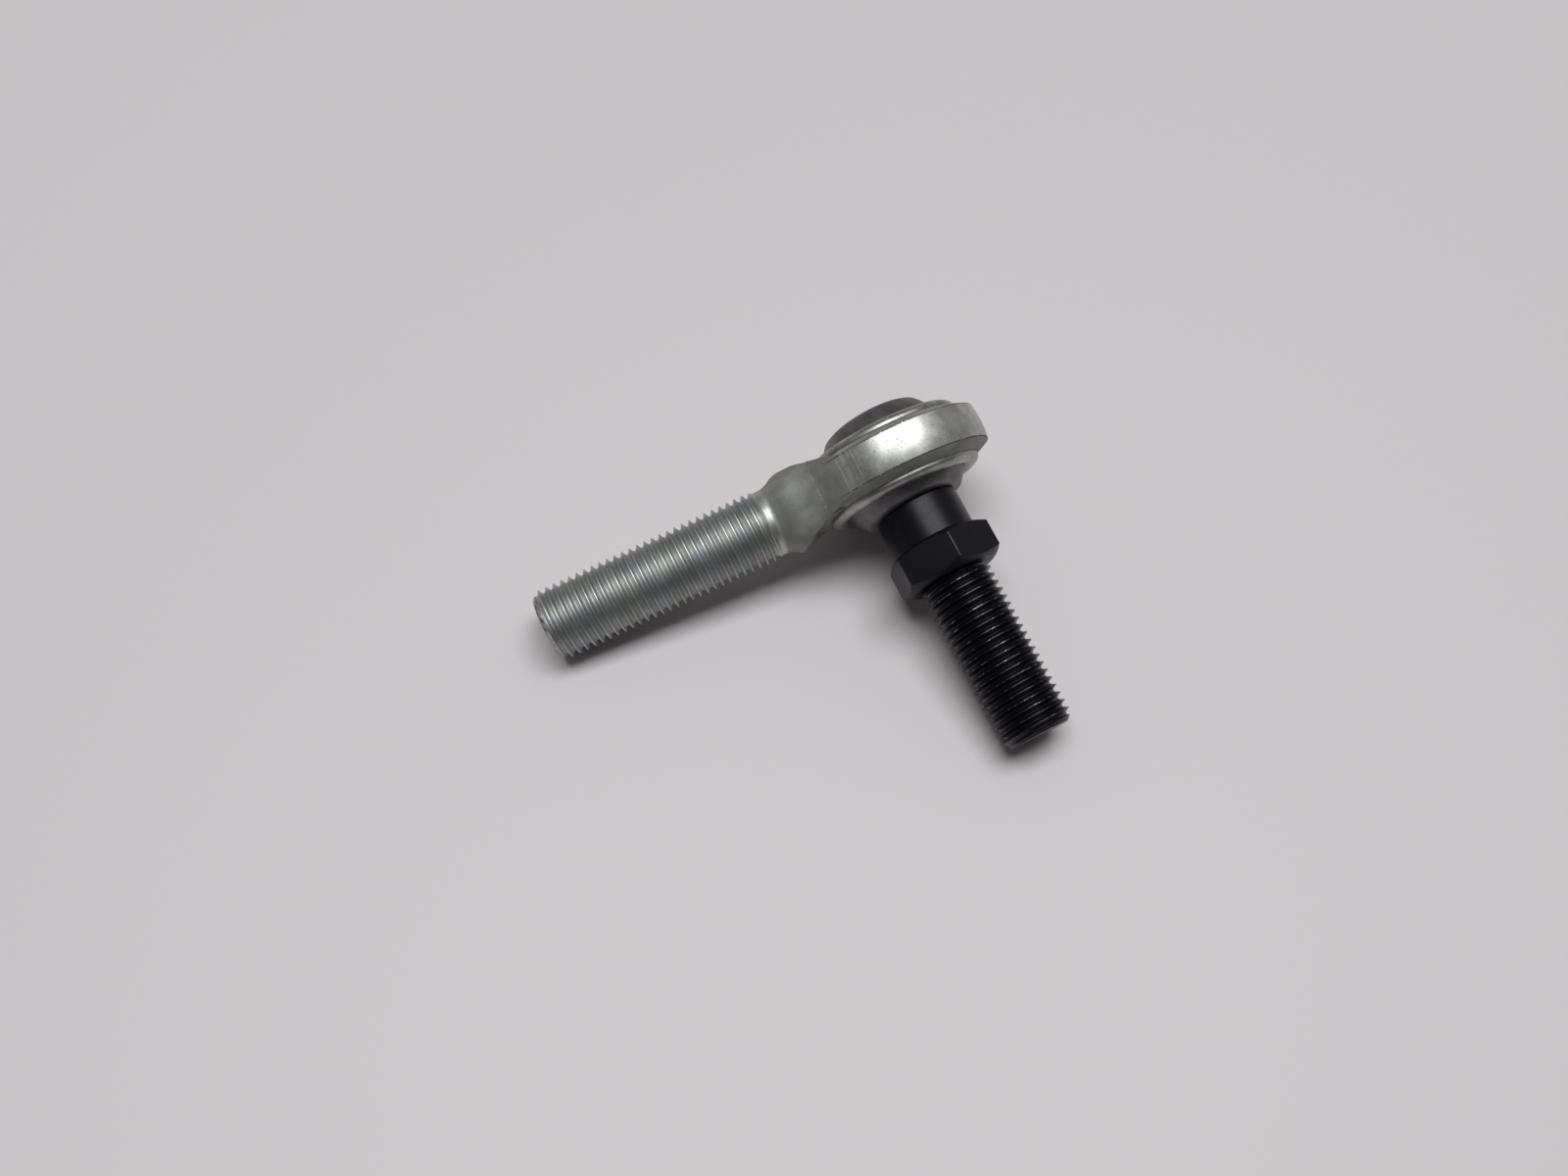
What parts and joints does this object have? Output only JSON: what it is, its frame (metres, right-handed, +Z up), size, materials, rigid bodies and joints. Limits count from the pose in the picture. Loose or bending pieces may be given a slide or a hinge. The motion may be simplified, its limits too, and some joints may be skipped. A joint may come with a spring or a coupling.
{
  "type": "studded rod end bearing",
  "caption": "Male rod end with a threaded shank and an eye: a ball with a staked, threaded stud swivels in a race swaged into the eye, to join a rod to a bracket at an angle.",
  "frame": {"origin": "on the level surface that the rod end lies on, under the middle of its box", "axes": "+Z is up; +X is along the longest extent, with the tip of the shank towards -X and the end of the stud towards -Y"},
  "size_m": [0.0674, 0.0448, 0.0252],
  "materials": {
    "zinc_body": "bright zinc plate over a turned and faced surface",
    "zinc_race": "zinc plate, turned",
    "ball_steel": "dark satin bearing steel",
    "black_oxide": "black oxide, slightly oily"
  },
  "bodies": {
    "body": {"rod_end_body": "zinc_body"},
    "race": {"race": "zinc_race"},
    "ball": {"ball": "ball_steel"},
    "stud": {"stud": "black_oxide"}
  },
  "joints": [
    {"name": "swivel_direction", "type": "hinge", "parent": "body", "child": "race", "pos_m": [0.01225, 0.01353, 0.01258], "axis": [0.4365, -0.8461, -0.306], "continuous": true},
    {"name": "swivel_tilt", "type": "hinge", "parent": "race", "child": "ball", "pos_m": [0.01225, 0.01353, 0.01258], "axis": [-0.8817, -0.47, 0.0419], "range_deg": [-32.3, 20.6]},
    {"name": "stud_spin", "type": "hinge", "parent": "ball", "child": "stud", "pos_m": [0.01225, 0.01353, 0.01258], "axis": [0.4525, -0.8673, -0.2073], "continuous": true}
  ]
}
